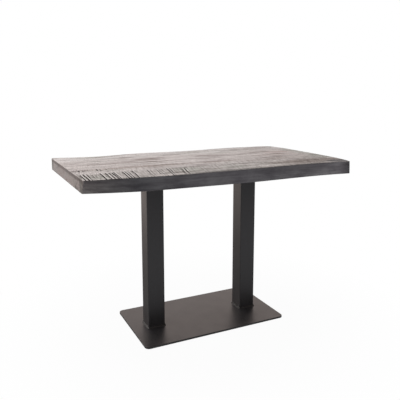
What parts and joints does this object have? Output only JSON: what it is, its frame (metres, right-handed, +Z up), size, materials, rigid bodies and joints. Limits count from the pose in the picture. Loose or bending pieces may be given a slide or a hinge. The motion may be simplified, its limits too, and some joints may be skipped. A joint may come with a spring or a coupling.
{
  "type": "restaurant table",
  "caption": "Restaurant table: thick natural-edge plank top on square steel columns welded to a flat rectangular base plate with levelling glides.",
  "frame": {"origin": "on the floor, midway between the columns; the middle of the top lies 7 mm to its right and 6 mm further back", "axes": "+X along the top's length, +Y across the table towards its back edge, +Z up"},
  "size_m": [1.24, 0.7105, 0.77],
  "materials": {
    "plank_wood": "rough-sawn, grey-washed and sealed matt",
    "black_steel": "satin black powder coat",
    "zinc_steel": "bright zinc plate",
    "glide_plastic": "moulded black nylon"
  },
  "bodies": {
    "table": {"front_board": "plank_wood", "second_board": "plank_wood", "middle_board": "plank_wood", "fourth_board": "plank_wood", "back_board": "plank_wood", "base_plate": "black_steel", "left_column": "black_steel", "right_column": "black_steel", "left_head_plate": "black_steel", "right_head_plate": "black_steel", "left_foot_weld": "black_steel", "left_head_weld": "black_steel", "right_foot_weld": "black_steel", "right_head_weld": "black_steel", "top_screws": "zinc_steel", "top_screw_washers": "zinc_steel"},
    "pad_front_left": {"glide_pad_front_left": "glide_plastic"},
    "stud_front_left": {"glide_stud_front_left": "zinc_steel"},
    "pad_front_right": {"glide_pad_front_right": "glide_plastic"},
    "stud_front_right": {"glide_stud_front_right": "zinc_steel"},
    "pad_back_left": {"glide_pad_back_left": "glide_plastic"},
    "stud_back_left": {"glide_stud_back_left": "zinc_steel"},
    "pad_back_right": {"glide_pad_back_right": "glide_plastic"},
    "stud_back_right": {"glide_stud_back_right": "zinc_steel"}
  },
  "joints": [
    {"name": "glide_slide_front_left", "type": "slide", "parent": "table", "child": "pad_front_left", "axis": [0, 0, 1], "range_m": [-0.003, 0]},
    {"name": "glide_turn_front_left", "type": "hinge", "parent": "pad_front_left", "child": "stud_front_left", "pos_m": [-0.31, -0.16, 0.005], "axis": [0, 0, 1], "range_deg": [-860, 0]},
    {"name": "glide_slide_front_right", "type": "slide", "parent": "table", "child": "pad_front_right", "axis": [0, 0, 1], "range_m": [-0.003, 0]},
    {"name": "glide_turn_front_right", "type": "hinge", "parent": "pad_front_right", "child": "stud_front_right", "pos_m": [0.31, -0.16, 0.005], "axis": [0, 0, 1], "range_deg": [-860, 0]},
    {"name": "glide_slide_back_left", "type": "slide", "parent": "table", "child": "pad_back_left", "axis": [0, 0, 1], "range_m": [-0.003, 0]},
    {"name": "glide_turn_back_left", "type": "hinge", "parent": "pad_back_left", "child": "stud_back_left", "pos_m": [-0.31, 0.16, 0.005], "axis": [0, 0, 1], "range_deg": [-860, 0]},
    {"name": "glide_slide_back_right", "type": "slide", "parent": "table", "child": "pad_back_right", "axis": [0, 0, 1], "range_m": [-0.003, 0]},
    {"name": "glide_turn_back_right", "type": "hinge", "parent": "pad_back_right", "child": "stud_back_right", "pos_m": [0.31, 0.16, 0.005], "axis": [0, 0, 1], "range_deg": [-860, 0]}
  ],
  "couplings": [
    {"joint": "glide_slide_front_left", "follows": "glide_turn_front_left", "m_per_rad": 0.00019894},
    {"joint": "glide_slide_front_right", "follows": "glide_turn_front_right", "m_per_rad": 0.00019894},
    {"joint": "glide_slide_back_left", "follows": "glide_turn_back_left", "m_per_rad": 0.00019894},
    {"joint": "glide_slide_back_right", "follows": "glide_turn_back_right", "m_per_rad": 0.00019894}
  ]
}
